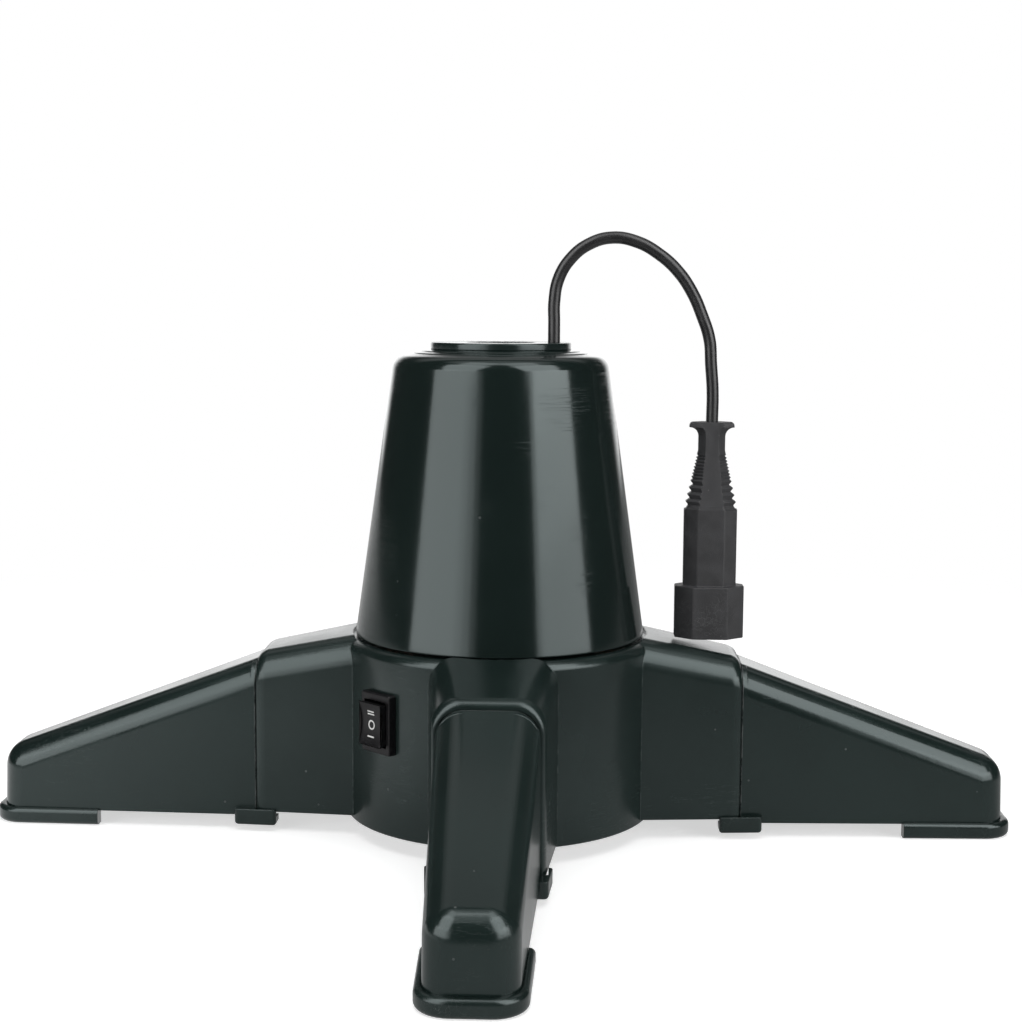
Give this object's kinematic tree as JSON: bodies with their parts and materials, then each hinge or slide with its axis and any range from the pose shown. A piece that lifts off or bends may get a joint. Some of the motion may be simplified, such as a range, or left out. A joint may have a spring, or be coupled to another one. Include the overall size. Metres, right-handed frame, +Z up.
{
  "type": "rotating christmas tree stand",
  "caption": "Motor-driven stand for a tree's pole: a conical tower turns on a hub drum with plug-in legs and foot shoes, and carries a short lead for the lights.",
  "frame": {"origin": "on the floor under the tower's axis", "axes": "+Z up along the tower's axis, -Y along the front leg, +X along the right leg"},
  "size_m": [0.507, 0.507, 0.295],
  "materials": {
    "hub_satin": "satin dark slate-green moulding",
    "leg_satin": "satin dark slate-green moulding",
    "tower_gloss": "polished dark green moulding",
    "collar_satin": "semi-gloss dark green moulding",
    "switch_black": "semi-gloss black",
    "black_moulding": "matt black moulding",
    "connector_moulding": "fine-textured black moulding",
    "shoe_satin": "satin dark green moulding, as the legs",
    "lead_jacket": "smooth black jacket",
    "tube_plastic": "plain dark moulding",
    "gear_nylon": "natural nylon",
    "cage_nylon": "glass-filled nylon",
    "disc_board": "laminate board",
    "motor_steel": "plated sheet steel",
    "race_steel": "turned steel",
    "ball_steel": "polished steel",
    "zinc_steel": "zinc plated",
    "bronze": "sintered bronze",
    "brass_contact": "plain brass",
    "copper_ring": "copper"
  },
  "bodies": {
    "base": {"hub_housing": "hub_satin", "bottom_cover": "hub_satin", "cover_screws": "zinc_steel", "guide_bush": "bronze", "switch_frame": "switch_black", "switch_terminals": "brass_contact", "inlet_gland": "black_moulding", "gear_motor": "motor_steel", "motor_screws": "zinc_steel", "lower_race": "race_steel", "contact_holder": "black_moulding", "contact_leaves": "brass_contact"},
    "tower": {"tower_shell": "tower_gloss", "top_collar": "collar_satin", "collar_screws": "zinc_steel", "pole_tube": "tube_plastic", "drive_gear": "gear_nylon", "gear_clip": "zinc_steel", "upper_race": "race_steel", "slip_ring_disc": "disc_board", "disc_screws": "zinc_steel", "contact_rings": "copper_ring", "lead_clamp": "black_moulding", "inner_lead": "lead_jacket", "outlet_lead": "lead_jacket", "outlet_connector": "connector_moulding", "outlet_contacts": "brass_contact"},
    "pinion": {"motor_pinion": "gear_nylon"},
    "balls": {"bearing_balls": "ball_steel", "ball_cage": "cage_nylon"},
    "rocker": {"switch_rocker": "switch_black"},
    "front_leg": {"leg_front": "leg_satin", "foot_shoe_front": "shoe_satin", "seam_clips_front": "shoe_satin"},
    "right_leg": {"leg_right": "leg_satin", "foot_shoe_right": "shoe_satin", "seam_clips_right": "shoe_satin"},
    "rear_leg": {"leg_rear": "leg_satin", "foot_shoe_rear": "shoe_satin", "seam_clips_rear": "shoe_satin"},
    "left_leg": {"leg_left": "leg_satin", "foot_shoe_left": "shoe_satin", "seam_clips_left": "shoe_satin"}
  },
  "joints": [
    {"name": "tower_spin", "type": "hinge", "parent": "base", "child": "tower", "pos_m": [0, 0, 0.1], "axis": [0, 0, 1], "continuous": true},
    {"name": "pinion_spin", "type": "hinge", "parent": "base", "child": "pinion", "pos_m": [-0.0327, 0.0327, 0.06], "axis": [0, 0, 1], "continuous": true},
    {"name": "ball_spin", "type": "hinge", "parent": "base", "child": "balls", "pos_m": [0, 0, 0.1], "axis": [0, 0, 1], "continuous": true},
    {"name": "rocker_tip", "type": "hinge", "parent": "base", "child": "rocker", "pos_m": [-0.05501, -0.05501, 0.0624], "axis": [0.7071, -0.7071, 0], "range_deg": [-10, 10]},
    {"name": "front_leg_slide", "type": "slide", "parent": "base", "child": "front_leg", "axis": [0, -1, 0], "range_m": [0, 0.035]},
    {"name": "right_leg_slide", "type": "slide", "parent": "base", "child": "right_leg", "axis": [1, 0, 0], "range_m": [0, 0.035]},
    {"name": "rear_leg_slide", "type": "slide", "parent": "base", "child": "rear_leg", "axis": [0, 1, 0], "range_m": [0, 0.035]},
    {"name": "left_leg_slide", "type": "slide", "parent": "base", "child": "left_leg", "axis": [-1, 0, 0], "range_m": [0, 0.035]}
  ],
  "couplings": [
    {"joint": "pinion_spin", "follows": "tower_spin", "ratio": -4.2857},
    {"joint": "ball_spin", "follows": "tower_spin", "ratio": 0.5}
  ]
}
